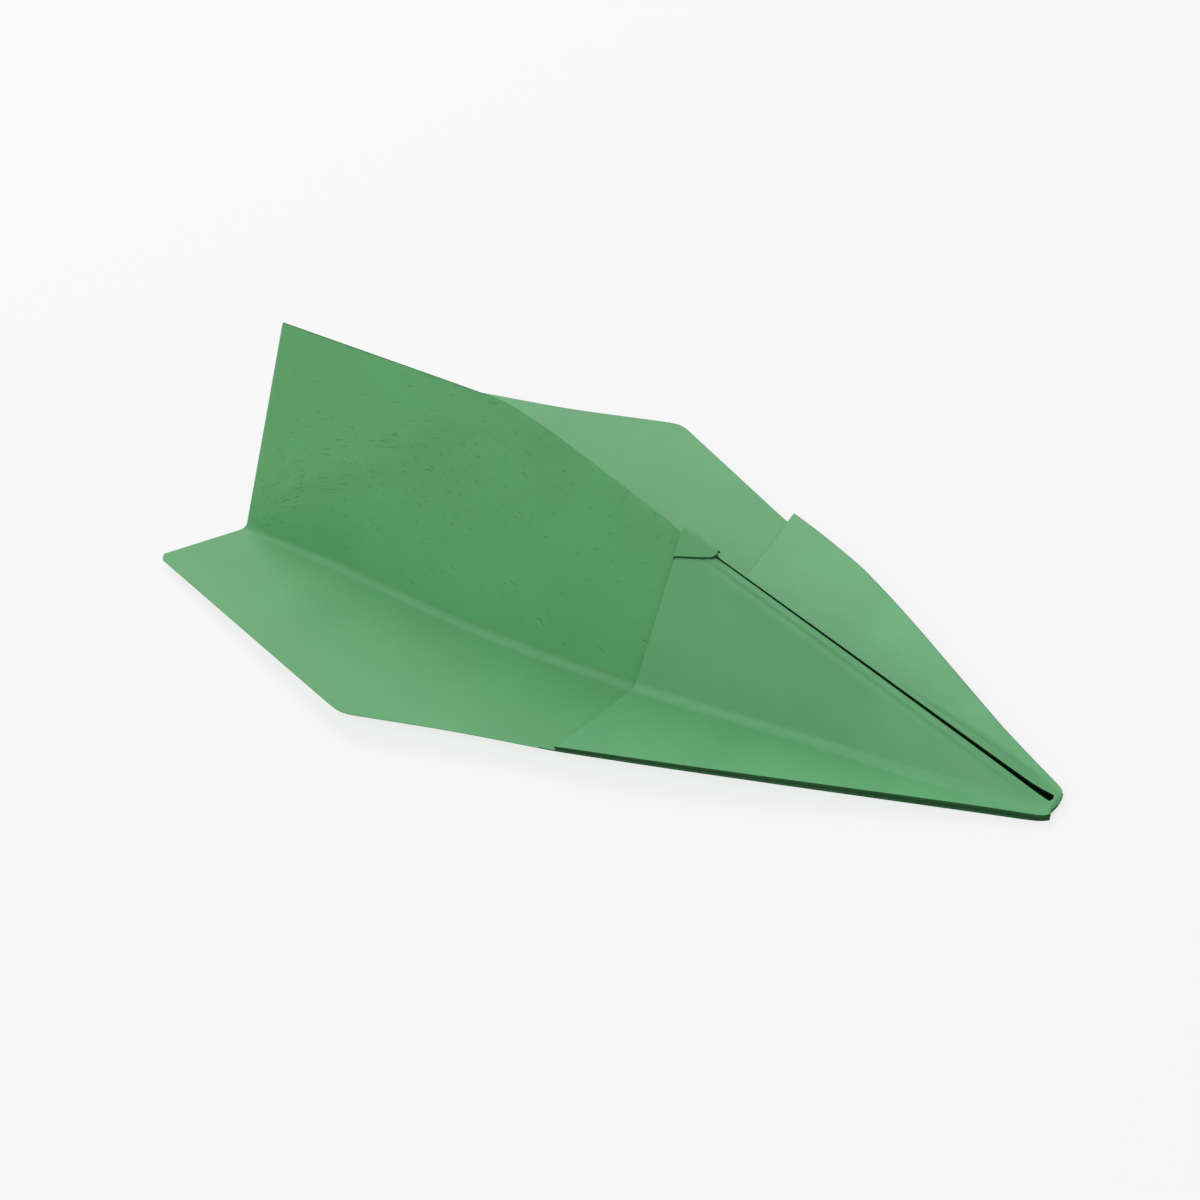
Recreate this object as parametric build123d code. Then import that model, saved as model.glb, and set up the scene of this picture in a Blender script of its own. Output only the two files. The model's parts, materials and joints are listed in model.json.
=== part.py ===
from build123d import *
import os

# Folded paper glider, keel uppermost, standing on its two wing creases.
#
# One sheet of heavy paper, cut here at its creases: every panel between two creases is a
# node, and each crease is a hinge line with a narrow gap.  It is drawn from its nose, which
# points to +X, and moved at the end so that the origin is under the middle of its bounding
# box.  The floor is z = 0.  In flight the keel hangs down, so -Y is the left side: it is
# built, and the right side is its mirror image.  All lengths are in millimetres.

os.makedirs("parts", exist_ok=True)

# ---- paper ----
SHEET = 0.3             # thickness of one layer
AIR = 0.06              # air between two stacked layers
NOSE_LAYERS = 2         # layers of the nose triangle, folded back on to the base sheet
FLAP_LAYERS = 3         # layers of the corner flap that closes over it
TAB_LAYERS = 2          # layers of the locking tab

# ---- keel, in the plane y = 0, with the nose at x = 0 ----
LENGTH = 257.6          # from the nose to the wing tips' rear corners
NOSE_HALF_WIDTH = 4.5   # the nose is folded blunt
RIDGE_BEND = Vector(-148.0, 0, 58.4)    # the ridge climbs straight to here
TAIL_TOP = Vector(-237.5, 0, 57.2)      # and runs level to the tail

# ---- wing creases and outline, left side, on the base sheet's upper surface ----
CREASE_HEAD_Y = -11.0   # the crease's line, carried on ahead of the wing, is here at the nose
CREASE_TAIL = Vector(-247.5, -28.3, SHEET)
STEP_CREASE_X = -105.0  # the flap's rear edge crosses the wing crease here
STEP_TIP = Vector(-104.0, -50.7, 3.8)   # and where it meets the leading edge
WIDEST_CREASE_X = -168.0
WIDEST_TIP = Vector(-159.0, -70.6, 5.4)
TAIL_TIP = Vector(-257.0, -52.0, 1.8)
CREASE_START_X = -19.0  # the crease leaves the leading edge here
WING_START_X = -24.0    # and the wing begins here

# ---- gaps that let the creases turn ----
NOSE_INSET = 1.25       # the keel's walls and flaps stop this far from the centre plane
STEP_INSET = 1.3        # and this far at the flap's rear edge
BEND_INSET = 0.45       # and this far where the ridge bends
TAIL_INSET = 0.7        # the tail corners stop this far from it
CREASE_GAP_NOSE = 0.9   # each panel stops this far from the crease line at the nose
CREASE_GAP_STEP = 1.45
CREASE_GAP_TAIL = 0.45
BEND_GAP = 0.25         # the tail corner stops this far from the bend line
CORNER_CLEARANCE = 2.0  # and its ends stop this far from the ridge bend and the crease

# ---- locking tab and tail fin ----
TAB_LENGTH = 11.0
TAB_DEPTH = 7.8
TAB_TIP_DEPTH = 2.2
FIN_SPINE = 82.0
FIN_SETBACK = 6.0       # the fin starts this far behind the ridge bend

NOSE_TOP = AIR + NOSE_LAYERS * SHEET
FLAP_BASE = NOSE_TOP + AIR
FLAP_TOP = FLAP_BASE + FLAP_LAYERS * SHEET
TAB_BASE = FLAP_TOP + 2 * AIR
TAB_TOP = TAB_BASE + TAB_LAYERS * SHEET

CREASE_HEAD = Vector(0, CREASE_HEAD_Y, SHEET)
NOSE_CORNER = Vector(0, -NOSE_HALF_WIDTH, SHEET)
NOSE_RIDGE = Vector(0, 0, SHEET + 0.05)
STEP_RIDGE = Vector(-97.0, 0, 33.9)     # under the flaps the base sheet lies deeper


def on_line(start, end, x):
    """The point of a straight line at a given x."""
    return start + (end - start) * ((x - start.X) / (end.X - start.X))


def crease(x):
    return on_line(CREASE_HEAD, CREASE_TAIL, x)


def crease_gap(x):
    """Half the width of the gap along the crease: wide under the thick nose stack."""
    if x > STEP_CREASE_X:
        share = x / STEP_CREASE_X
        return CREASE_GAP_NOSE + (CREASE_GAP_STEP - CREASE_GAP_NOSE) * share
    share = (x - STEP_CREASE_X) / (CREASE_TAIL.X - STEP_CREASE_X)
    return CREASE_GAP_STEP + (CREASE_GAP_TAIL - CREASE_GAP_STEP) * share


class Station:
    """A line across a panel, and the direction in which layers stack up at each end."""

    def __init__(self, inner, outer, along, inset=0.0, inner_gap=0.0, outer_gap=0.0):
        inner = inner - Vector(0, inset, 0)
        across = (outer - inner).normalized()
        normal = across.cross(along).normalized()
        if normal.Z < 0:
            normal = normal * -1
        self.width = (outer - inner).length - inner_gap - outer_gap
        self.inner = inner + across * inner_gap
        self.outer = outer - across * outer_gap
        self.outer_rise = normal
        self.inner_rise = normal
        if inset > 0:
            self.inner_rise = normal - across * (normal.Y / across.Y)

    def at(self, share, height):
        """The point a share of the way across, at a height above the base sheet."""
        start = self.inner + self.inner_rise * height
        end = self.outer + self.outer_rise * height
        return start + (end - start) * share

    def section(self, low, high, width=None):
        share = 1.0 if width is None else width / self.width
        corners = [self.at(0, low), self.at(share, low), self.at(share, high), self.at(0, high)]
        return Wire.make_polygon(corners, close=True)


def panel(stations, low, high):
    """A ruled sheet through its stations, from one height to another."""
    return Solid.make_loft([line.section(low, high) for line in stations], ruled=True)


def plate(corners, normal, low, high):
    """A flat sheet of straight-sided outline."""
    lifted = [corner + normal * low for corner in corners]
    outline = Face(Wire.make_polygon(lifted, close=True))
    return Solid.extrude(outline, normal * (high - low))


def nose_station(share):
    """A line across the nose part of the keel wall: 0 at the nose, 1 at the flap's rear edge."""
    along = NOSE_RIDGE - RIDGE_BEND
    inner = NOSE_RIDGE + (STEP_RIDGE - NOSE_RIDGE) * share
    outer = crease(STEP_CREASE_X * share) if share > 0 else NOSE_CORNER
    inset = NOSE_INSET + (STEP_INSET - NOSE_INSET) * share
    return Station(inner, outer, along, inset, 0, crease_gap(outer.X))


def wall_stations():
    """Stations of the keel wall: nose, head of the crease, rear edge of the flap, bend line."""
    along = NOSE_RIDGE - RIDGE_BEND
    bend_gap = BEND_GAP + crease_gap(CREASE_TAIL.X)
    bend_line = Station(RIDGE_BEND, CREASE_TAIL, along, BEND_INSET, 0, bend_gap)
    return [nose_station(0), nose_station(CREASE_START_X / STEP_CREASE_X), nose_station(1), bend_line]


def wing_stations():
    """Stations of the wing: its narrow start, the flap's rear edge, widest point and tail."""
    along = CREASE_HEAD - CREASE_TAIL
    ends = {
        WING_START_X: on_line(NOSE_CORNER, STEP_TIP, WING_START_X),
        STEP_CREASE_X: STEP_TIP,
        WIDEST_CREASE_X: WIDEST_TIP,
        CREASE_TAIL.X: TAIL_TIP,
    }
    return [Station(crease(x), tip, along, 0, crease_gap(x)) for x, tip in ends.items()]


def lock_tab(step):
    """Half of the small triangle that folds forward over both flaps and holds them shut."""
    front = nose_station(1 - TAB_LENGTH / (STEP_RIDGE - NOSE_RIDGE).length)
    root = step.section(TAB_BASE, TAB_TOP, TAB_DEPTH)
    tip = front.section(TAB_BASE, TAB_TOP, TAB_TIP_DEPTH)
    return Solid.make_loft([root, tip], ruled=True)


def tab_fold(step):
    """Half of the tab's fold, where it comes up from under the flaps at their rear edge."""
    behind = (RIDGE_BEND - NOSE_RIDGE).normalized() * SHEET
    outline = Face(step.section(AIR, TAB_TOP, TAB_DEPTH))
    return Solid.extrude(outline, behind)


def tail_corner():
    """The keel's rear corner, bent inwards so that both sides meet at the top edge."""
    inset = Vector(0, -TAIL_INSET, 0)
    front = RIDGE_BEND + inset
    rear = TAIL_TOP + inset
    bend = (CREASE_TAIL - front).normalized()
    edge = (CREASE_TAIL - rear).normalized()
    normal = (rear - front).cross(bend).normalized()
    if normal.Y > 0:
        normal = normal * -1
    behind = normal.cross(bend)
    if behind.X > 0:
        behind = behind * -1
    corners = [
        front + bend * CORNER_CLEARANCE + behind * (2 * BEND_GAP),
        rear,
        CREASE_TAIL - edge * CORNER_CLEARANCE,
        CREASE_TAIL - bend * (CORNER_CLEARANCE + 2 * BEND_GAP) + behind * BEND_GAP,
    ]
    return plate(corners, normal, -SHEET, 0)


def tail_fin():
    """The part of the corner that the inside reverse fold tucks between the walls."""
    top_edge = (TAIL_TOP - RIDGE_BEND).normalized()
    ridge_on = (RIDGE_BEND - NOSE_RIDGE).normalized()
    spine = top_edge * (2 * ridge_on.dot(top_edge)) - ridge_on
    start = RIDGE_BEND + top_edge * FIN_SETBACK
    foot = RIDGE_BEND + spine * FIN_SPINE
    return plate([start, TAIL_TOP, foot], Vector(0, -1, 0), AIR / 2, AIR / 2 + SHEET)


wall = wall_stations()
wing = wing_stations()
step = wall[2]
LEFT = {
    "keel_wall": panel(wall, -SHEET, 0),
    "nose_layers_keel": panel(wall[:3], AIR, NOSE_TOP),
    "flap_keel": panel(wall[:3], FLAP_BASE, FLAP_TOP),
    "lock_tab": lock_tab(step),
    "tab_fold": tab_fold(step),
    "tail_corner": tail_corner(),
    "tail_fin": tail_fin(),
    "wing": panel(wing, -SHEET, 0),
    "nose_layers_wing": panel(wing[:2], AIR, NOSE_TOP),
    "flap_wing": panel(wing[:2], FLAP_BASE, FLAP_TOP),
}

to_middle = Location((LENGTH / 2, 0, 0))
for name, solid in LEFT.items():
    placed = solid.moved(to_middle)
    export_step(placed, f"parts/left_{name}.step")
    export_step(placed.mirror(Plane.XZ), f"parts/right_{name}.step")
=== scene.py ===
import json
import math

import bmesh
import bpy
import numpy as np
from mathutils import Matrix, Vector


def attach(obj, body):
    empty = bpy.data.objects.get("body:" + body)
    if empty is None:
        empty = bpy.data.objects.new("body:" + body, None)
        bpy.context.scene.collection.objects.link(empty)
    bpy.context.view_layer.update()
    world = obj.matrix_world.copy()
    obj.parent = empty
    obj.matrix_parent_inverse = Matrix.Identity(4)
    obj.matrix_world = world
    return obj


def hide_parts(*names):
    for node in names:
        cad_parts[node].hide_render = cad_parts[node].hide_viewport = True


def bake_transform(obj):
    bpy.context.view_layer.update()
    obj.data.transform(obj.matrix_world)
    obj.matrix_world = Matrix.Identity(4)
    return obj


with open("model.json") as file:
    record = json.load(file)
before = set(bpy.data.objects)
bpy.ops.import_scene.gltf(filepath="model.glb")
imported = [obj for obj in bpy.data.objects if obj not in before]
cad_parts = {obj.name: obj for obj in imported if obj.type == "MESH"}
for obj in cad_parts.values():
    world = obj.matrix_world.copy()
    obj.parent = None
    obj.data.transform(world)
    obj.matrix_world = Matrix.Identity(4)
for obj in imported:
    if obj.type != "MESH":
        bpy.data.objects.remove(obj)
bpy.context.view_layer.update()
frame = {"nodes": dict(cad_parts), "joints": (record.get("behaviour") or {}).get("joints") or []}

MM = 0.001
JOINTS = {joint["name"]: joint for joint in frame["joints"]}

# ---- paper, in millimetres like every size below ----
SHEET = 0.34                # one layer of paper
CREASE_RADIUS = 2.1         # how far the wing crease's rounding reaches up each panel
RIDGE_DROP = 0.8            # how much the ridge's rounding takes off its sharp edge
RIDGE_REACH = 2.4           # how far down the rounding reaches, in drops
RIDGE_ROUNDED_TO = 2.05     # share of the length at which the rounding ends
RIDGE_FADE = 0.1            # and the share over which it fades
RIDGE_RISE = 6              # it is full one sixth of the way to the flap's rear edge
RIM_BULGE = 0.32            # how far a cut edge bulges, in layers
EDGE_ROW = 0.012            # share of a panel between its edge and the first row of points
CREASE_SHARE = 0.45         # the most of a narrow wing that the crease's rounding takes
UNDERSIDE_AWAY = 40.0       # the underside takes its texture from this far off

# ---- the nose stack, as heights above the base sheet at the nose and at its rear edge ----
NOSE_LAYERS = ((0.16, 0.70), (0.14, 0.50))
FLAP_LAYERS = ((0.80, 1.75), (0.58, 1.22))
TAB_LAYERS = (1.42, 1.74)           # the lock tab's lower and upper surface
SLOT_HALF_WIDTH = (1.1, 0.85)       # beside the ridge, at the nose and at the rear edge
SLOT_CLOSED = 1.15          # the flaps meet this close to the nose
SLOT_OPENING = 0.2          # and the slot opens over this length
SLOT_LEAST = 0.03           # from this share of its width
SLOT_SHADE = 1.9            # painted shadow on the base sheet this far from the centre, under the slot
SHADE_SHORT = 4             # the painted shadow ends this many rows ahead of the flap's rear edge
BEAD_WIDTH = 1.6            # the flap's edge rolls over towards the slot
BEAD_DROP = 0.75
BEAD_ROUNDNESS = 1.5
BEAD_FADE = 6.0             # it flattens out this close to the nose
BEAD_STEPS = 9              # rows of points across it
BEAD_STEPS_WIDTH = 1.7      # which take this many of its widths
BEAD_STEPS_SHARE = 0.3      # or this share of a narrow wall
GROOVE_PLACE = 1.25         # the groove beside it, in the bead's widths
GROOVE_WIDTH = 0.55
GROOVE_DEPTH = 0.42

# ---- points that the creases pass, measured back from the nose on the left side ----
NOSE_CORNER = (0.2, -2.9, 0.3)
NOSE_OUTER = (0.2, -4.0, 0.3)
NOSE_ROUNDING = (1.0, 0.03)  # the nose's corners are cut by this much, over this share
NOSE_RIDGE = (0.5, 0.0, 0.35)
STEP_RIDGE = (-99.5, 0.0, 37.6)
OPEN_RIDGE = (-101.5, 0.0, 40.6)     # behind the flaps the ridge is no longer pressed down
STEP_CREASE = (-104.0, -20.4, 0.4)
STEP_TIP = (-104.0, -50.7, 5.4)
STEP_DISTANCE = 104.0       # from the nose to the flap's rear edge
NOSE_BULGE = (0, -1.7, 1.4) # the leading edge curves out and up ahead of the flap's rear edge
BULGE_SKEW = 1.4            # and most so behind the middle
OPEN_SHARE = 1.04           # where the ridge is fully open, behind the flaps
WIDEST_SHARE = 1.42         # where the wing is widest
SIDE_END = 0.04             # the side edge passes the bend line this far ahead of the tail tip
# The two sides were not folded quite alike. Each row gives a share of the leading edge's
# length, and how far it lies ahead of and inside the even line there.
BASE_EDGE = {
    "left": ((0, 0.7, -1.2), (0.1, 0, -1.1), (0.3, 0, -0.8), (0.6, 0, -0.4), (1, 0, 0),
             (1.2, 0, 0.7), (WIDEST_SHARE, 0, 0)),
    "right": ((0, 0, 0.2), (0.2, 0, 0.6), (0.4, 0, 0), (1, -1.5, 2.0), (WIDEST_SHARE, 0, 0),
              (1.65, 0, 1.8), (2, 0, 0)),
}
FLAP_EDGE = {
    "left": BASE_EDGE["left"],
    "right": ((0, 0, 0.2), (0.2, 0, 0.6), (0.4, 0, 0), (0.55, -0.3, -0.9), (0.74, -0.6, -1.9),
              (0.9, -1.1, -1.6), (1, -1.5, -1.2)),
}
TIP_ROUNDING = 1.7          # the wing tip's rear corner is cut by this much
TIP_ROUNDED_FROM = 2.4      # from this share of the length
TIP_ROUNDED_OVER = 0.6      # over this share
RIDGE_SOFTNESS = 0.16       # the ridge's corners are rounded over this share
CREASE_BOW = ((-30.0, -9.4), (-56.0, -13.0), (-84.0, -17.4), (-125.0, -22.8),
              (-150.0, -24.8), (-175.0, -25.6), (-208.0, -25.9))
CREASE_HEIGHT = 0.4
CREASE_REAR = 4.0           # the tail corner's foot is this long on the crease

# ---- how far each corner of the visual sheet lies from the CAD panel's ----
RIDGE_BEND_SHIFT = (0, 0, 1.3)
TAIL_TOP_SHIFT = (-1.1, 0, 1.4)
CREASE_TAIL_SHIFT = (0, 1.2, 0)
TAIL_TIP_SHIFT = (-0.3, 0.0, 1.3)
WIDEST_TIP_SHIFT = (0, 0, 1.3)

# ---- half the gap between the two sides: shares of the length, and the gap there ----
GAP_SHARES = (0, 2, 2.2, 3)
GAPS = (0.004, 0.004, 0.16, 0.16)

# ---- two distances outward from a joint's axis, handed to bend_at ----
WING_TURN = (3.4, 7.0)
TAIL_TURN = (-4.0, 9.0)

# ---- places in a piece's list of materials ----
# the second material is painted shade along rims; the third is painted shadow in and under the slot
PLAIN, SHADED_RIM, PAINTED_SLOT_SHADOW = 0, 1, 2

CAMERA_PLACE = (242.1, -233.6, 287.8)
CAMERA_TARGET = (11.5, -14.5, 20.0)
CAMERA_ROLL = -10.45        # degrees, about the view


def corner(node, toward):
    """The CAD node's vertex that lies farthest in a direction, in millimetres."""
    points = np.array([vertex.co for vertex in frame["nodes"][node].data.vertices]) / MM
    return points[np.argmax(points @ np.array(toward, float))]


def on_centre(point):
    return point * np.array([1, 0, 1])


NOSE = np.array(JOINTS["left_keel_spread"]["pos_m"]) / MM
RIDGE_BEND = on_centre(corner("left_keel_wall", (0, 0, 1))) + np.array(RIDGE_BEND_SHIFT)
TAIL_TOP = on_centre(corner("left_tail_corner", (-1, 0, 1))) + np.array(TAIL_TOP_SHIFT)
CREASE_TAIL = corner("left_wing", (-1, 3, 0)) + np.array(CREASE_TAIL_SHIFT)
TAIL_TIP = corner("left_wing", (-3, -1, 0)) + np.array(TAIL_TIP_SHIFT)
WIDEST_TIP = corner("left_wing", (0, -1, 0)) + np.array(WIDEST_TIP_SHIFT)


def from_nose(point):
    """A point given from the nose, in the frame."""
    return np.array([NOSE[0], 0, 0]) + np.array(point, float)


def unit(vectors):
    return vectors / np.linalg.norm(vectors, axis=-1, keepdims=True)


def dot(a, b):
    return np.sum(a * b, axis=-1, keepdims=True)


def along_path(points, places):
    """Points on a smooth path through the given points; places count them from 0."""
    points = np.array(points, float)
    slopes = np.gradient(points, axis=0)
    start = np.clip(np.floor(places).astype(int), 0, len(points) - 2)
    t = (places - start)[:, None]
    p, q, a, b = points[start], points[start + 1], slopes[start], slopes[start + 1]
    return (p * (2 * t**3 - 3 * t**2 + 1) + a * (t**3 - 2 * t**2 + t)
            + q * (3 * t**2 - 2 * t**3) + b * (t**3 - t**2))


def mix(start, end, share):
    return start + (end - start) * share


# ---- the left side's three long lines: ridge, crease and leading edge ----
# A share of 0 is the nose, 1 the flap's rear edge, 2 the bend line and 3 the trailing edge.

def ridge_line(shares):
    corners = [from_nose(NOSE_RIDGE), from_nose(STEP_RIDGE), from_nose(OPEN_RIDGE),
               RIDGE_BEND, TAIL_TOP]
    softness = np.clip(np.minimum(np.abs(shares - OPEN_SHARE), 3 - shares), 0, RIDGE_SOFTNESS)
    softness = np.where(shares < OPEN_SHARE, 0, softness)
    points = np.zeros((len(shares), 3))
    offsets = np.linspace(-1, 1, 9)
    for offset in offsets:
        near = shares + offset * softness
        points += np.array([np.interp(near, (0, 1, OPEN_SHARE, 2, 3), axis)
                            for axis in np.transpose(corners)]).T
    return points / len(offsets)


def crease_line(shares):
    ahead = [NOSE_CORNER] + [(x, y, CREASE_HEIGHT) for x, y in CREASE_BOW[:3]] + [STEP_CREASE]
    behind = [STEP_CREASE] + [(x, y, CREASE_HEIGHT) for x, y in CREASE_BOW[3:]]
    path = [from_nose(p) for p in ahead] + [from_nose(p) for p in behind[1:]] + [CREASE_TAIL]
    path = np.array(path)
    step = len(ahead) - 1
    fine = along_path(path, np.linspace(0, len(path) - 1, 400))
    bend_x = CREASE_TAIL[0] + CREASE_REAR
    stops = [path[0][0], path[step][0], bend_x, CREASE_TAIL[0]]
    x = np.interp(shares, range(4), stops)
    order = np.argsort(fine[:, 0])
    return np.array([np.interp(x, fine[order, 0], axis) for axis in fine[order].T]).T


def leading_edge(shares):
    rear = mix(TAIL_TIP, WIDEST_TIP, SIDE_END)
    corners = [from_nose(NOSE_OUTER), from_nose(STEP_TIP), WIDEST_TIP, rear, TAIL_TIP]
    stops = [0, 1, WIDEST_SHARE, 2, 3]
    edge = np.array([np.interp(shares, stops, axis) for axis in np.transpose(corners)]).T
    nose = np.clip(shares, 0, 1)
    edge += np.array(NOSE_BULGE) * np.sin(np.pi * nose**BULGE_SKEW)[:, None]
    cut, reach = NOSE_ROUNDING
    left = np.clip(1 - shares / reach, 0, 1)
    edge[:, 1] += cut * (1 - np.sqrt(1 - left**2))
    tip = np.clip((shares - TIP_ROUNDED_FROM) / TIP_ROUNDED_OVER, 0, 1)
    edge[:, 1] += TIP_ROUNDING * tip ** 2
    return edge


# ---- cross-sections ----

WALL_ROWS = 26
CREASE_ROWS = 9
WING_ROWS = 22


def spread(count):
    """Shares from 0 to 1 with a narrow step at each end."""
    return np.concatenate([[0], np.linspace(EDGE_ROW, 1 - EDGE_ROW, count - 2), [1]])


def sections(shares, height, edge=None):
    """A grid of points: one row of a panel per share, from the ridge over the crease to the
    leading edge, at a height above the base sheet's upper surface."""
    ridge, crease, outer = ridge_line(shares), crease_line(shares), leading_edge(shares)
    if edge is not None:
        place, ahead, inside = np.transpose(edge)
        outer[:, 0] += np.interp(shares, place, ahead)
        outer[:, 1] += np.interp(shares, place, inside)
    forward = unit(np.gradient(crease, axis=0))
    down = unit(crease - ridge)
    out = unit(outer - crease)
    wall_normal = unit(np.cross(forward, down))
    wall_normal *= -np.sign(wall_normal[:, 1:2])
    wing_normal = unit(np.cross(forward, out))
    wing_normal *= np.sign(wing_normal[:, 2:3])
    height = np.asarray(height, float).reshape(-1, 1)
    rise = wall_normal - down * (wall_normal[:, 1:2] / down[:, 1:2])
    ridge = ridge + rise * height
    crease = crease + (wall_normal + wing_normal) * height / (1 + dot(wall_normal, wing_normal))
    outer = outer + wing_normal * height
    wing_width = np.linalg.norm(outer - crease, axis=1, keepdims=True)
    reach = np.minimum(CREASE_RADIUS, CREASE_SHARE * wing_width)
    upper = crease + unit(ridge - crease) * reach
    lower = crease + unit(outer - crease) * reach
    rows = [mix(ridge, upper, t) for t in spread(WALL_ROWS)]
    for t in np.linspace(0, 1, CREASE_ROWS)[1:-1]:
        rows.append(mix(mix(upper, crease, t), mix(crease, lower, t), t))
    rows += [mix(lower, outer, t) for t in spread(WING_ROWS)]
    return np.stack(rows, axis=1)


def soften(grid, times):
    """Rounds a grid along its length, with its two ends left where they are."""
    for _ in range(times):
        grid[1:-1] = (grid[:-2] + 2 * grid[1:-1] + grid[2:]) / 4
    return grid


def keep_off_centre(grid, gap):
    """Moves the points nearest the centre plane out to a gap, down along their panel."""
    gap = np.broadcast_to(np.asarray(gap, float), grid.shape[:1])
    for line, clear in zip(grid, gap):
        inside = line[:, 1] > -clear
        share = (-clear - line[0, 1]) / (line[WALL_ROWS - 1, 1] - line[0, 1])
        if inside.any():
            t = spread(WALL_ROWS)[:, None]
            line[:WALL_ROWS] = mix(mix(line[0], line[WALL_ROWS - 1], share),
                                   line[WALL_ROWS - 1], t)
    return grid


# ---- meshes ----

def boundary(rows, columns):
    """Grid places around the edge, in order, with the side of the grid each one starts."""
    first = [(0, j, "front") for j in range(columns - 1)]
    last = [(rows - 1, j, "rear") for j in range(columns - 1, 0, -1)]
    outer = [(i, columns - 1, "outer") for i in range(rows - 1)]
    inner = [(i, 0, "inner") for i in range(rows - 1, 0, -1)]
    return first + outer + last + inner


def sheet_piece(name, top, low, materials, rims, seams=(), dark_rows=None):
    """A closed sheet between two grids of points. Its edges are half round, except at the
    seams, where another piece carries it on. The rims of the sides named in rims have their
    own material, here painted shade: all along, or only ahead of row dark_rows if that is given.
    A piece given dark_rows also has painted shadow on both faces under the slot."""
    rows, columns = top.shape[:2]
    count = rows * columns
    edge = boundary(rows, columns)
    neighbour = {"front": (1, 0), "rear": (-1, 0), "inner": (0, 1), "outer": (0, -1)}
    middle = []
    for index, (i, j, side) in enumerate(edge):
        previous = edge[index - 1][2]
        push = np.zeros(3)
        for each in {side, previous}:
            di, dj = neighbour[each]
            if each not in seams:
                away = top[i, j] - top[i + di, j + dj]
                push += away / (np.linalg.norm(away) + 1e-9)
        thickness = np.linalg.norm(top[i, j] - low[i, j])
        length = np.linalg.norm(push)
        push = push / length * thickness * RIM_BULGE if length > 0.1 else push * 0
        middle.append((top[i, j] + low[i, j]) / 2 + push)
    points = np.concatenate([top.reshape(-1, 3), low.reshape(-1, 3), np.array(middle)])

    def at(i, j):
        return i * columns + j

    faces, rim_sides = [], []
    for i in range(rows - 1):
        for j in range(columns - 1):
            quad = (at(i, j), at(i + 1, j), at(i + 1, j + 1), at(i, j + 1))
            faces.append(quad)
            faces.append(tuple(count + k for k in reversed(quad)))
    rim_start = len(faces)
    for index, (i, j, side) in enumerate(edge):
        after = (index + 1) % len(edge)
        k, following = at(i, j), at(edge[after][0], edge[after][1])
        mid, next_mid = 2 * count + index, 2 * count + after
        faces.append((k, following, next_mid, mid))
        faces.append((mid, next_mid, count + following, count + k))
        rim_sides += [(side, i), (side, i)]
    mesh = bpy.data.meshes.new(name)
    mesh.from_pydata((points * MM).tolist(), [], faces)
    for material in materials:
        mesh.materials.append(material)
    mesh.shade_smooth()
    for (side, row), polygon in zip(rim_sides, mesh.polygons[rim_start:]):
        coloured = dark_rows is None or row < dark_rows
        polygon.material_index = rims.get(side, PLAIN) if coloured else PLAIN
        polygon.use_smooth = side not in seams
    # painted shadow on both faces of the base sheet under the slot, near the centre
    shaded_rows = max((dark_rows or 0) - SHADE_SHORT, 0)
    for polygon in mesh.polygons[:2 * shaded_rows * (columns - 1)]:
        if abs(polygon.center.y) < SLOT_SHADE * MM:
            polygon.material_index = PAINTED_SLOT_SHADOW
    # the paper's own flat coordinates, so that its texture is laid along the sheet
    length = np.cumsum(np.linalg.norm(np.diff(top, axis=0, prepend=top[:1]), axis=2), axis=0)
    across = np.cumsum(np.linalg.norm(np.diff(top, axis=1, prepend=top[:, :1]), axis=2), axis=1)
    length = np.broadcast_to(length.mean(axis=1, keepdims=True), across.shape)
    flat = np.stack([length, across, np.zeros_like(length)], axis=2).reshape(-1, 3)
    on_edge = np.array([flat[at(i, j)] for i, j, _ in edge])
    place = mesh.attributes.new("paper_place", "FLOAT_VECTOR", "POINT")
    under = flat + np.array([0, 0, UNDERSIDE_AWAY])
    place.data.foreach_set("vector", np.concatenate([flat, under, on_edge]).ravel() * MM)
    work = bmesh.new()
    work.from_mesh(mesh)
    bmesh.ops.recalc_face_normals(work, faces=work.faces)
    for line in work.edges:
        line.smooth = all(face.smooth for face in line.link_faces)
    work.to_mesh(mesh)
    work.free()
    mesh.update()
    piece = bpy.data.objects.new(name, mesh)
    bpy.context.scene.collection.objects.link(piece)
    return piece


# ---- materials ----
# A pattern has a noise scale, a detail and a range from where it begins to where it is full.

MOTTLE, MOTTLE_RANGE = (38, 3), (0.3, 0.7)
FIBRE, FIBRE_RANGE = (900, 4, (1, 2.4, 1)), (0.35, 0.65)
SPECK, SPECK_RANGE = (1500, 2), (0.62, 0.74)
PIT, PIT_RANGE = (380, 2, (0.7, 1.7, 1)), (0.64, 0.74)
SPECK_DARKER = 1.6          # how dark the specks are, in flecks
PIT_HEIGHT = -0.75
FIBRE_HEIGHT = 0.12


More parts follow.
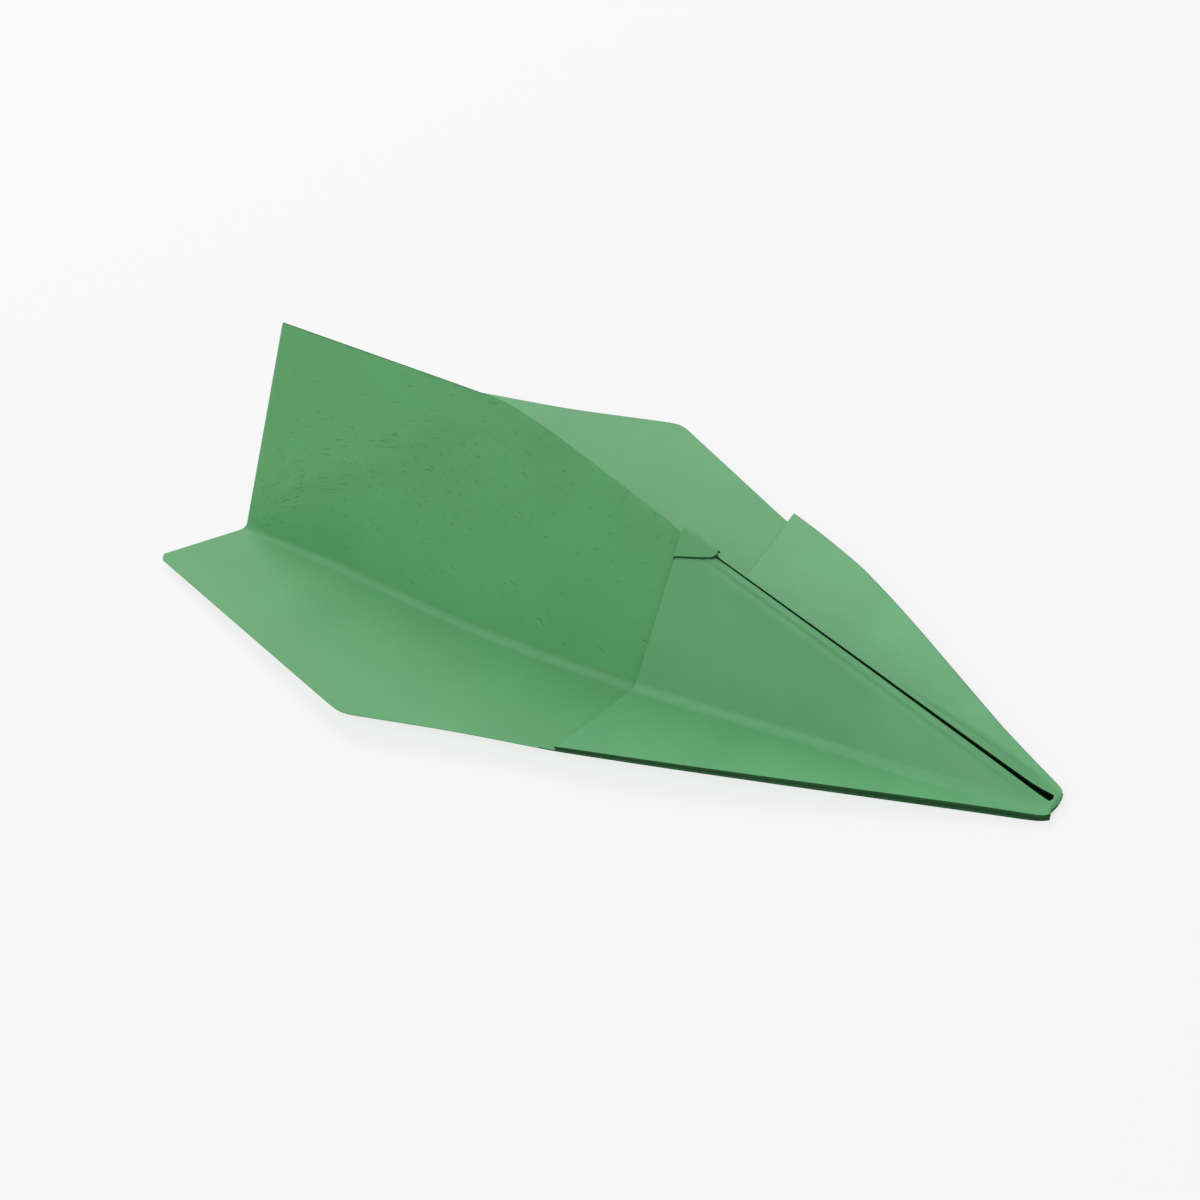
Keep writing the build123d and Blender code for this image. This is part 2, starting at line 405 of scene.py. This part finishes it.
def paper(name, colour, fleck, bump, roughness, shine=0.5):
    """Matte paper: mottled colour, fine fibres, and small pits pressed into the surface."""
    material = bpy.data.materials.new(name)
    material.use_nodes = True
    nodes, links = material.node_tree.nodes, material.node_tree.links
    shader = nodes["Principled BSDF"]
    shader.inputs["Roughness"].default_value = roughness
    shader.inputs["Specular IOR Level"].default_value = shine
    place = nodes.new("ShaderNodeAttribute")
    place.attribute_name = "paper_place"

    def noise(scale, detail, stretch=(1, 1, 1)):
        stretched = nodes.new("ShaderNodeMapping")
        stretched.inputs["Scale"].default_value = stretch
        texture = nodes.new("ShaderNodeTexNoise")
        texture.inputs["Scale"].default_value = scale
        texture.inputs["Detail"].default_value = detail
        links.new(place.outputs["Vector"], stretched.inputs["Vector"])
        links.new(stretched.outputs["Vector"], texture.inputs["Vector"])
        return texture.outputs["Fac"]

    def ramp(source, low, high):
        step = nodes.new("ShaderNodeMapRange")
        step.inputs["From Min"].default_value = low
        step.inputs["From Max"].default_value = high
        links.new(source, step.inputs["Value"])
        return step.outputs["Result"]

    def blended(share, first, second):
        node = nodes.new("ShaderNodeMix")
        node.data_type = "RGBA"
        links.new(share, node.inputs["Factor"])
        for socket, value in (("A", first), ("B", second)):
            target = [s for s in node.inputs if s.name == socket and s.type == "RGBA"][0]
            if isinstance(value, tuple):
                target.default_value = (*value, 1)
            else:
                links.new(value, target)
        return [s for s in node.outputs if s.type == "RGBA"][0]

    mottle = ramp(noise(*MOTTLE), *MOTTLE_RANGE)
    fibre = ramp(noise(*FIBRE), *FIBRE_RANGE)
    dark = tuple(c * (1 - fleck) for c in colour)
    light = tuple(min(1, c * (1 + fleck)) for c in colour)
    darker = tuple(c * (1 - SPECK_DARKER * fleck) for c in colour)
    tone = blended(mottle, dark, light)
    speck = ramp(noise(*SPECK), *SPECK_RANGE)
    links.new(blended(speck, tone, darker), shader.inputs["Base Color"])

    pits = ramp(noise(*PIT), *PIT_RANGE)
    height = nodes.new("ShaderNodeMath")
    height.operation = "MULTIPLY_ADD"
    height.inputs[1].default_value = PIT_HEIGHT
    links.new(pits, height.inputs[0])
    fine = nodes.new("ShaderNodeMath")
    fine.operation = "MULTIPLY"
    fine.inputs[1].default_value = FIBRE_HEIGHT
    links.new(fibre, fine.inputs[0])
    links.new(fine.outputs[0], height.inputs[2])
    relief = nodes.new("ShaderNodeBump")
    relief.inputs["Strength"].default_value = 1.0
    relief.inputs["Distance"].default_value = bump * MM
    links.new(height.outputs[0], relief.inputs["Height"])
    links.new(relief.outputs["Normal"], shader.inputs["Normal"])
    return material


GREEN = (0.116, 0.45, 0.158)
# the wings' copy of the sheet's green is paler and whiter: painted sheen
WING_SHEEN_GREEN = (0.130, 0.435, 0.175)
# the flap's and tab's copy of the sheet's green is lighter: painted light
FLAP_LIT_GREEN = (0.142, 0.465, 0.195)
# a near-black copy of the green for the hidden nose layers: painted shade
INNER_SHADE_GREEN = (0.03, 0.10, 0.04)
# painted shade for rims: the leading edges of wing, nose layers and flap, and the tab's outer and
# rear edges
RIM_SHADE_GREEN = (0.022, 0.10, 0.032)
# painted shadow in the slot, near black
SLOT_SHADOW_GREEN = (0.004, 0.018, 0.006)
sheet_green = paper("sheet_paper", GREEN, 0.05, 0.22, 0.5)
# the wings' paper, with painted sheen in its colour
wing_sheen_paper = paper("painted_wing_sheen", WING_SHEEN_GREEN, 0.05, 0.05, 0.5)
# the flap's and tab's paper, with painted light in its colour
flap_lit_paper = paper("flap_paper", FLAP_LIT_GREEN, 0.05, 0.06, 0.5)
# the nose layers' paper: painted shade
inner_shade_paper = paper("inner_paper", INNER_SHADE_GREEN, 0.06, 0.08, 0.85, 0.2)
# the rims' paper: painted shade
rim_shade_paper = paper("painted_rim_shade", RIM_SHADE_GREEN, 0.10, 0.05, 0.9, 0.2)
# the slot's paper: painted shadow
slot_shadow_paper = paper("painted_slot_shade", SLOT_SHADOW_GREEN, 0.10, 0.05, 0.95, 0.05)


# ---- pieces of one side, made on the left ----

# The rows are close together at the nose and wherever an edge turns a corner.
SHARES = np.concatenate([
    [0, 0.004, 0.0105, 0.0132], np.linspace(0.022, 0.98, 44), [0.994, 1.0],
    np.linspace(1.02, 1.36, 12), np.linspace(1.38, 1.46, 9), np.linspace(1.5, 1.94, 16),
    np.linspace(1.96, 2.1, 8), np.linspace(2.14, 2.97, 16), [2.992, 3.0],
])
NOSE_SHARES = SHARES[SHARES <= 1]
SEAM = WALL_ROWS - 2        # the wing's piece begins on this row, above the crease


def round_ridge(grid, shares):
    """Rounds the fold where the two walls meet, as far back as the bend."""
    for line, share in zip(grid, shares):
        rear_fade = np.clip((RIDGE_ROUNDED_TO - share) / RIDGE_FADE, 0, 1)
        drop = RIDGE_DROP * rear_fade * np.clip(share * RIDGE_RISE, 0, 1)
        if drop > 0:
            fall = line[0, 2] - line[:WALL_ROWS, 2]
            t = np.clip(fall / (RIDGE_REACH * drop), 0, 1)
            line[:WALL_ROWS, 2] -= drop * (1 - t) ** 2
    return grid


def base_grids(side):
    top = sections(SHARES, 0, BASE_EDGE[side])
    low = sections(SHARES, -SHEET, BASE_EDGE[side])
    for grid in (top, low):
        soften(grid, 5)
    return top, low


def nose_heights(layers, shares, which):
    return mix(layers[0][which], layers[1][which], shares)


def bead(grid, shares):
    """Rolls the flap's inner edge over towards the slot, with a faint groove beside it."""
    upper = grid.copy()
    for line, origin, share in zip(grid, upper, shares):
        reach = np.linalg.norm(origin - origin[0], axis=1)
        down = (origin[WALL_ROWS // 2] - origin[0]) / reach[WALL_ROWS // 2]
        normal = np.array([0, -down[2], down[1]])
        normal /= -np.linalg.norm(normal) * np.sign(normal[1])
        near = np.clip(1 - reach / BEAD_WIDTH, 0, 1)
        groove = np.exp(-((reach - GROOVE_PLACE * BEAD_WIDTH) / GROOVE_WIDTH) ** 2)
        fade = min(1, share * STEP_DISTANCE / BEAD_FADE)
        depth = BEAD_DROP * near**BEAD_ROUNDNESS + GROOVE_DEPTH * groove
        line -= normal * fade * depth[:, None]
    return grid


def piece_mirrored(points, side):
    return points if side == "left" else points * np.array([1, -1, 1])


def bend_at(side, piece, joint, facing, toward, before, after):
    """Bakes the piece's place into its mesh; it does not blend the piece across the joint. It
    works out a direction across a panel that faces one way and leads toward another, from the
    joint's axis, and leaves it unused. before and after, from the joint's axis, are not used."""
    axis = np.array(JOINTS[f"left_{joint}"]["axis"])
    across = unit(np.cross(axis, facing))
    across *= np.sign(across @ np.array(toward))
    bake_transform(piece)


def close_rows(count, width, total):
    """Shares down a wall with close steps near its inner edge, for the bead."""
    edge = width / total
    return np.concatenate([np.linspace(0, edge, BEAD_STEPS)[:-1], np.linspace(edge, 1, count)])


def flap_grid(side, layers, shares, which, rolled):
    slot = mix(*SLOT_HALF_WIDTH, shares)
    behind = shares * STEP_DISTANCE - SLOT_CLOSED
    slot = slot * np.clip(behind / SLOT_OPENING, SLOT_LEAST, 1)
    grid = sections(shares, nose_heights(layers, shares, which), FLAP_EDGE[side])
    grid = keep_off_centre(grid, slot)
    lines = []
    for line in grid:
        wall = line[:WALL_ROWS]
        length = np.linalg.norm(wall[-1] - wall[0])
        width = min(BEAD_STEPS_WIDTH * BEAD_WIDTH, BEAD_STEPS_SHARE * length)
        steps = close_rows(WALL_ROWS, width, length)[:, None]
        lines.append(np.concatenate([mix(wall[0], wall[-1], steps), line[WALL_ROWS:]]))
    grid = np.array(lines)
    return bead(grid, shares) if rolled else grid


TAB_REAR = (1.004, 1.0035, 1.002, 1.0)      # its fold's rows, behind the flaps' rear edge
TAB_REAR_DROP = (1.0, 0.55, 0.2, 0.04, 0)   # share of its height that each rear row is lowered
TAB_FRONT_ROWS = 16
TAB_SHARES = (0.90, 0.91, 0.94, 1.0)        # and its depth down the wall at each share
TAB_DEPTHS = (1.1, 2.6, 4.6, 8.4)
TAB_COLUMNS = 18
TAB_ROOT = 0.1              # its fold comes up from this height
TAB_SHOULDER = 1.5          # it is rounded over the ridge down to here
TAB_SHOULDER_SHARE = 0.45   # or to this share of its depth
TAB_ROUNDED = 0.45          # share of its columns in the rounding
TAB_CENTRE_GAP = 0.01
TAB_CROWN = 0.7             # height of its middle between shoulder and apex
TAB_KNEE = 0.4              # how far out the rounding's middle point is


def lock_tab_grids():
    """The tab that folds over the ridge at the flaps' rear edge and holds them shut."""
    front = np.linspace(0.995, TAB_SHARES[0], TAB_FRONT_ROWS)
    places = np.concatenate([TAB_REAR, front])
    depth = np.interp(places, TAB_SHARES, TAB_DEPTHS)
    tops, lows = [], []
    grid = sections(np.sort(places), 0)[::-1]
    columns = np.linspace(0, 1, TAB_COLUMNS)
    for row, (line, reach) in enumerate(zip(grid, depth)):
        wall = line[WALL_ROWS - 1] - line[0]
        down = wall / np.linalg.norm(wall)
        normal = np.array([0, down[2], -down[1]])
        normal /= np.linalg.norm(normal)
        lowered = TAB_REAR_DROP[row] if row < len(TAB_REAR_DROP) else 0
        for heights, store in ((TAB_LAYERS[1], tops), (TAB_LAYERS[0], lows)):
            height = heights - lowered * (heights - TAB_ROOT)
            apex = line[0] + (normal - down * normal[1] / down[1]) * height
            flat = min(TAB_SHOULDER, TAB_SHOULDER_SHARE * reach)
            shoulder = apex + down * flat
            crown = shoulder[2] + TAB_CROWN * (apex[2] - shoulder[2])
            centre = np.array([apex[0], -TAB_CENTRE_GAP, crown])
            knee = np.array([apex[0], shoulder[1] * TAB_KNEE, centre[2]])
            end = apex + down * reach
            points = []
            for t in columns:
                if t < TAB_ROUNDED:
                    s = t / TAB_ROUNDED
                    points.append(mix(mix(centre, knee, s), mix(knee, shoulder, s), s))
                else:
                    points.append(mix(shoulder, end, (t - TAB_ROUNDED) / (1 - TAB_ROUNDED)))
            store.append(points)
    return np.array(tops), np.array(lows)


def make_side(side):
    def grid(points):
        return piece_mirrored(points, side)

    top, low = base_grids(side)
    for each in (top, low):
        keep_off_centre(each, np.interp(SHARES, GAP_SHARES, GAPS))
        round_ridge(each, SHARES)
    body = f"{side}_keel"

    wall = sheet_piece(f"{side}_keel_side", grid(top[:, :SEAM + 1]), grid(low[:, :SEAM + 1]),
                       (sheet_green, rim_shade_paper, slot_shadow_paper), {}, seams=("outer", "inner"),
                       dark_rows=len(NOSE_SHARES))
    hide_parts(f"{side}_keel_wall", f"{side}_tail_corner")
    bend_at(side, wall, "tail_bend", (0, -1, 0.3), (-1, 0, 1), *TAIL_TURN)

    # the wing's leading edge rim is painted shade
    wing = sheet_piece(f"{side}_wing_sheet", grid(top[:, SEAM:]), grid(low[:, SEAM:]),
                       (wing_sheen_paper, rim_shade_paper, slot_shadow_paper), {"outer": SHADED_RIM},
                       seams=("inner",), dark_rows=len(NOSE_SHARES))
    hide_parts(f"{side}_wing")
    bend_at(side, wing, "wing_fold", (0, 0, 1), (0, -1, 0), *WING_TURN)

    layers = [flap_grid(side, NOSE_LAYERS, NOSE_SHARES, which, False) for which in (1, 0)]
    # the nose layers are painted shade all over
    inner = sheet_piece(f"{side}_nose_layers", *map(grid, layers),
                        (inner_shade_paper, rim_shade_paper, slot_shadow_paper),
                        {"outer": SHADED_RIM, "inner": PAINTED_SLOT_SHADOW})
    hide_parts(f"{side}_nose_layers_keel", f"{side}_nose_layers_wing")
    bend_at(side, inner, "wing_fold", (0, 0, 1), (0, -1, 0), *WING_TURN)

    layers = [flap_grid(side, FLAP_LAYERS, NOSE_SHARES, which, True) for which in (1, 0)]
    flap = sheet_piece(f"{side}_flap", *map(grid, layers), (flap_lit_paper, rim_shade_paper, slot_shadow_paper),
                       {"outer": SHADED_RIM, "inner": PAINTED_SLOT_SHADOW})
    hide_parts(f"{side}_flap_keel", f"{side}_flap_wing")
    bend_at(side, flap, "wing_fold", (0, 0, 1), (0, -1, 0), *WING_TURN)

    # the tab's outer and rear rims are painted shade, a dark line beneath and behind it
    tab = sheet_piece(f"{side}_tab", *map(grid, lock_tab_grids()), (flap_lit_paper, rim_shade_paper),
                      {"outer": SHADED_RIM, "rear": SHADED_RIM}, seams=("inner",))
    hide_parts(f"{side}_lock_tab", f"{side}_tab_fold")
    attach(tab, body)

    fin = frame["nodes"][f"{side}_tail_fin"]
    fin.data.materials.clear()
    fin.data.materials.append(sheet_green)


for side in ("left", "right"):
    make_side(side)


# ---- floor, light and camera ----

FLOOR_HALF_WIDTH = 4.0      # metres
FLOOR_GREY = 0.18
FLOOR_GLOW = 0.762
WORLD_STRENGTH = 0.46


def make_stage():
    floor_mesh = bpy.data.meshes.new("floor")
    half = FLOOR_HALF_WIDTH
    floor_mesh.from_pydata([(-half, -half, 0), (half, -half, 0), (half, half, 0), (-half, half, 0)],
                           [], [(0, 1, 2, 3)])
    floor = bpy.data.objects.new("floor", floor_mesh)
    bpy.context.scene.collection.objects.link(floor)
    material = bpy.data.materials.new("floor")
    material.use_nodes = True
    shader = material.node_tree.nodes["Principled BSDF"]
    shader.inputs["Base Color"].default_value = (FLOOR_GREY, FLOOR_GREY, FLOOR_GREY, 1)
    shader.inputs["Roughness"].default_value = 0.9
    shader.inputs["Emission Color"].default_value = (1, 1, 1, 1)
    shader.inputs["Emission Strength"].default_value = FLOOR_GLOW
    floor_mesh.materials.append(material)
    floor.visible_diffuse = False


def make_light():
    world = bpy.data.worlds.new("studio")
    bpy.context.scene.world = world
    world.use_nodes = True
    nodes = world.node_tree.nodes
    nodes["Background"].inputs["Color"].default_value = (1, 1, 1, 1)
    nodes["Background"].inputs["Strength"].default_value = WORLD_STRENGTH

    for name, place, size, power in (
        ("key", (-0.1, -0.9, 1.2), 0.9, 5.2),
        ("back", (-0.89, 0.6, 1.19), 1.0, 8.0),
    ):
        light = bpy.data.lights.new(name, "AREA")
        light.shape = "DISK"
        light.size = size
        light.energy = power
        lamp = bpy.data.objects.new(name, light)
        lamp.location = place
        lamp.rotation_euler = (-Vector(place)).to_track_quat("-Z", "Y").to_euler()
        bpy.context.scene.collection.objects.link(lamp)


def make_camera():
    data = bpy.data.cameras.new("camera")
    data.lens = 50.0
    data.sensor_width = 36.0
    data.clip_start = 0.01
    camera = bpy.data.objects.new("camera", data)
    bpy.context.scene.collection.objects.link(camera)
    place, target = Vector(CAMERA_PLACE) * MM, Vector(CAMERA_TARGET) * MM
    turn = (target - place).to_track_quat("-Z", "Y")
    roll = Matrix.Rotation(math.radians(CAMERA_ROLL), 4, "Z")
    camera.matrix_world = Matrix.Translation(place) @ turn.to_matrix().to_4x4() @ roll
    bpy.context.scene.camera = camera


make_stage()
make_light()
make_camera()
bpy.context.scene.view_settings.view_transform = "Standard"
